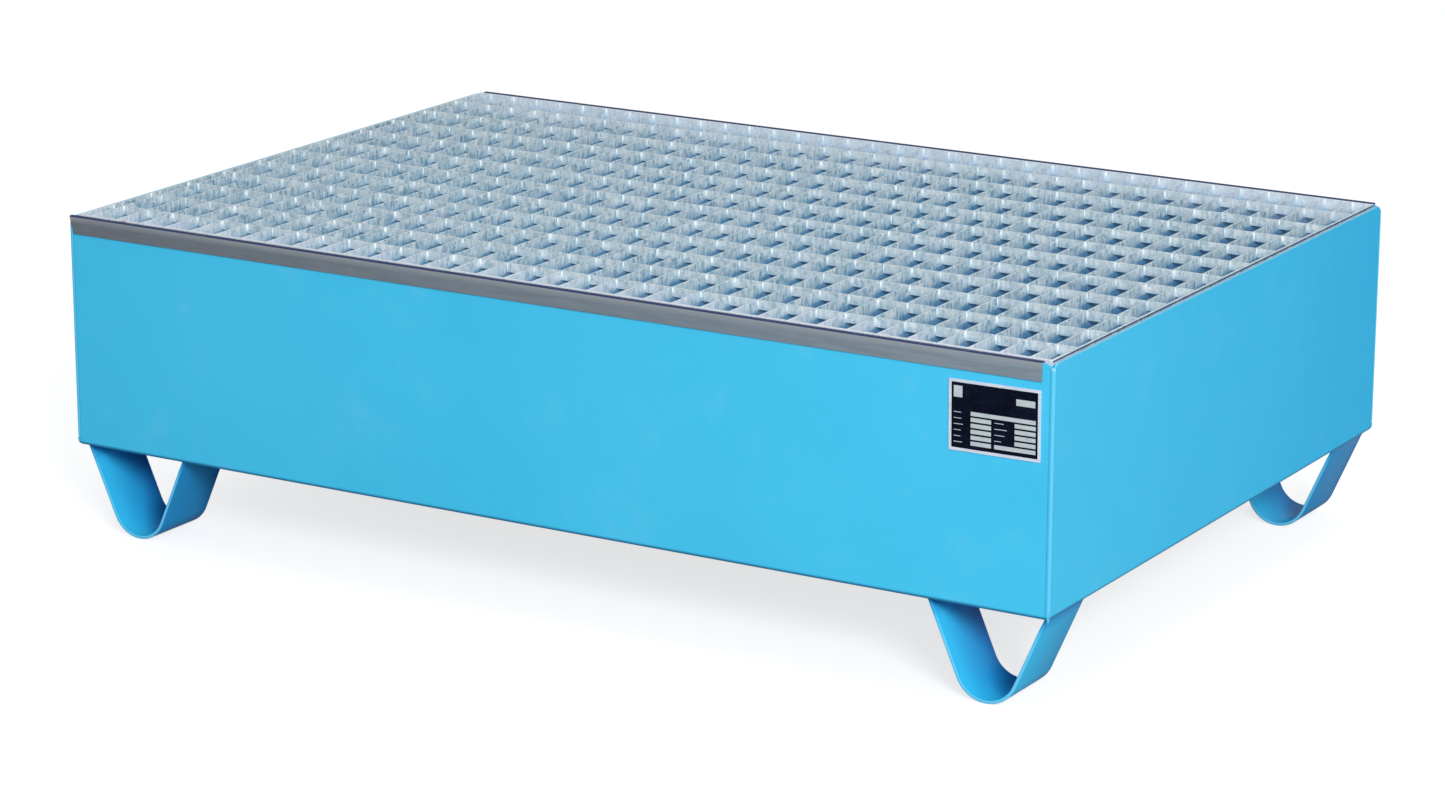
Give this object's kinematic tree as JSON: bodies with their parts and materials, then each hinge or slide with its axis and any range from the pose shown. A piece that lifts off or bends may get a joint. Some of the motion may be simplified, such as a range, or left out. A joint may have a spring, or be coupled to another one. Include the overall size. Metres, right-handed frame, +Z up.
{
  "type": "spill containment pallet",
  "caption": "Steel sump tray on bent V feet with a lift-out pressed grating and metal edge rails, for catching leaks under drums.",
  "frame": {"origin": "on the floor, under the middle of the footprint", "axes": "+Z up, +X along the long side, -Y towards the front with the rating plate"},
  "size_m": [1.2, 0.8026, 0.36],
  "materials": {
    "blue_paint": "light blue powder coat, satin gloss, on folded steel sheet",
    "galvanised_steel": "hot-dip galvanised, pale grey, slightly mottled",
    "bare_steel": "bare brushed metal, grey",
    "plate_face": "dark printed plate with a bare metal border and blank fields"
  },
  "bodies": {
    "root": {"sump_tray": "blue_paint", "corner_weld_front_left": "blue_paint", "corner_weld_front_right": "blue_paint", "corner_weld_rear_left": "blue_paint", "corner_weld_rear_right": "blue_paint", "foot_front_left": "blue_paint", "foot_front_right": "blue_paint", "foot_rear_left": "blue_paint", "foot_rear_right": "blue_paint", "front_edge_rail": "bare_steel", "rear_edge_rail": "bare_steel", "grating_ledge_frame": "blue_paint", "rating_plate": "plate_face"},
    "grating": {"grating_border_frame": "galvanised_steel", "grating_bearing_bar_01": "galvanised_steel", "grating_bearing_bar_02": "galvanised_steel", "grating_bearing_bar_03": "galvanised_steel", "grating_bearing_bar_04": "galvanised_steel", "grating_bearing_bar_05": "galvanised_steel", "grating_bearing_bar_06": "galvanised_steel", "grating_bearing_bar_07": "galvanised_steel", "grating_bearing_bar_08": "galvanised_steel", "grating_bearing_bar_09": "galvanised_steel", "grating_bearing_bar_10": "galvanised_steel", "grating_bearing_bar_11": "galvanised_steel", "grating_bearing_bar_12": "galvanised_steel", "grating_bearing_bar_13": "galvanised_steel", "grating_bearing_bar_14": "galvanised_steel", "grating_bearing_bar_15": "galvanised_steel", "grating_bearing_bar_16": "galvanised_steel", "grating_bearing_bar_17": "galvanised_steel", "grating_bearing_bar_18": "galvanised_steel", "grating_bearing_bar_19": "galvanised_steel", "grating_bearing_bar_20": "galvanised_steel", "grating_bearing_bar_21": "galvanised_steel", "grating_bearing_bar_22": "galvanised_steel", "grating_bearing_bar_23": "galvanised_steel", "grating_bearing_bar_24": "galvanised_steel", "grating_bearing_bar_25": "galvanised_steel", "grating_bearing_bar_26": "galvanised_steel", "grating_bearing_bar_27": "galvanised_steel", "grating_bearing_bar_28": "galvanised_steel", "grating_bearing_bar_29": "galvanised_steel", "grating_bearing_bar_30": "galvanised_steel", "grating_bearing_bar_31": "galvanised_steel", "grating_bearing_bar_32": "galvanised_steel", "grating_bearing_bar_33": "galvanised_steel", "grating_bearing_bar_34": "galvanised_steel", "grating_bearing_bar_35": "galvanised_steel", "grating_cross_bar_01": "galvanised_steel", "grating_cross_bar_02": "galvanised_steel", "grating_cross_bar_03": "galvanised_steel", "grating_cross_bar_04": "galvanised_steel", "grating_cross_bar_05": "galvanised_steel", "grating_cross_bar_06": "galvanised_steel", "grating_cross_bar_07": "galvanised_steel", "grating_cross_bar_08": "galvanised_steel", "grating_cross_bar_09": "galvanised_steel", "grating_cross_bar_10": "galvanised_steel", "grating_cross_bar_11": "galvanised_steel"}
  },
  "joints": [
    {"name": "grating_lift", "type": "slide", "parent": "root", "child": "grating", "axis": [0, 0, 1], "range_m": [0, 0.25]}
  ]
}
